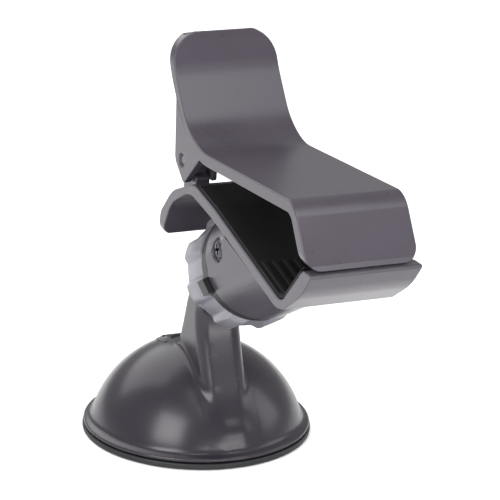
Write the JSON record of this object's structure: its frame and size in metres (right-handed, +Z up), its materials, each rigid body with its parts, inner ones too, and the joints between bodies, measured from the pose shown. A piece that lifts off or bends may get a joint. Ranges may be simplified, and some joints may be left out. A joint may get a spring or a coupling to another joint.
{
  "type": "car phone mount",
  "caption": "Suction-cup phone mount for a car: domed base with a cam lever, short arm, ball joint with a lobed lock nut, and a wide sprung clip.",
  "frame": {"origin": "middle of the suction face, on the plane the mount stands on", "axes": "+Z up out of the suction face; -Y towards the clip's jaw tips; X along the clip's width and its hinge pin"},
  "size_m": [0.078, 0.1641, 0.142],
  "materials": {
    "shell_plastic": "satin",
    "clip_plastic": "satin",
    "nut_plastic": "fine satin",
    "black_plastic": "matt moulded",
    "pale_plastic": "natural nylon",
    "pad_rubber": "smooth",
    "grip_rubber": "matt",
    "steel": "bright"
  },
  "bodies": {
    "base": {"suction_pad": "pad_rubber", "base_dome": "shell_plastic", "ball_stud": "black_plastic", "stud_screw": "steel"},
    "rod": {"pull_rod": "steel"},
    "lever": {"lock_lever": "shell_plastic", "rod_pin": "steel"},
    "seat": {"ball_seat": "pale_plastic"},
    "nut": {"lock_nut": "nut_plastic"},
    "clip": {"socket": "black_plastic", "lower_jaw": "clip_plastic", "lower_liner": "grip_rubber", "lower_grip": "grip_rubber", "hub_screw_left": "steel", "hub_screw_right": "steel"},
    "upper": {"upper_jaw": "clip_plastic", "upper_liner": "grip_rubber", "hinge_pin": "steel", "spring_bush": "black_plastic", "torsion_spring": "steel"}
  },
  "joints": [
    {"name": "ball_tilt", "type": "hinge", "parent": "base", "child": "seat", "pos_m": [0, -0.0418, 0.0708], "axis": [1, 0, 0], "range_deg": [-12, 12]},
    {"name": "ball_swing", "type": "hinge", "parent": "seat", "child": "nut", "pos_m": [0, -0.0418, 0.0708], "axis": [0, 0.4695, 0.8829], "range_deg": [-12, 12]},
    {"name": "ball_spin", "type": "hinge", "parent": "nut", "child": "clip", "pos_m": [0, -0.0418, 0.0708], "axis": [0, -0.8829, 0.4695], "range_deg": [-90, 90]},
    {"name": "jaw_open", "type": "hinge", "parent": "clip", "child": "upper", "pos_m": [0, -0.0255, 0.1032], "axis": [-1, 0, 0], "range_deg": [0, 50], "stiffness_Nm_per_rad": 0.5, "springref_deg": -34.38, "deforming": ["torsion_spring"]},
    {"name": "lever_lift", "type": "hinge", "parent": "base", "child": "lever", "pos_m": [0, 0.0082, 0.02498], "axis": [1, 0, 0], "range_deg": [0, 55]},
    {"name": "rod_drop", "type": "slide", "parent": "base", "child": "rod", "axis": [0, 0, -1], "range_m": [0, 0.0018]}
  ],
  "couplings": [
    {"joint": "lever_lift", "follows": "rod_drop", "rad_per_m": 532.76}
  ]
}
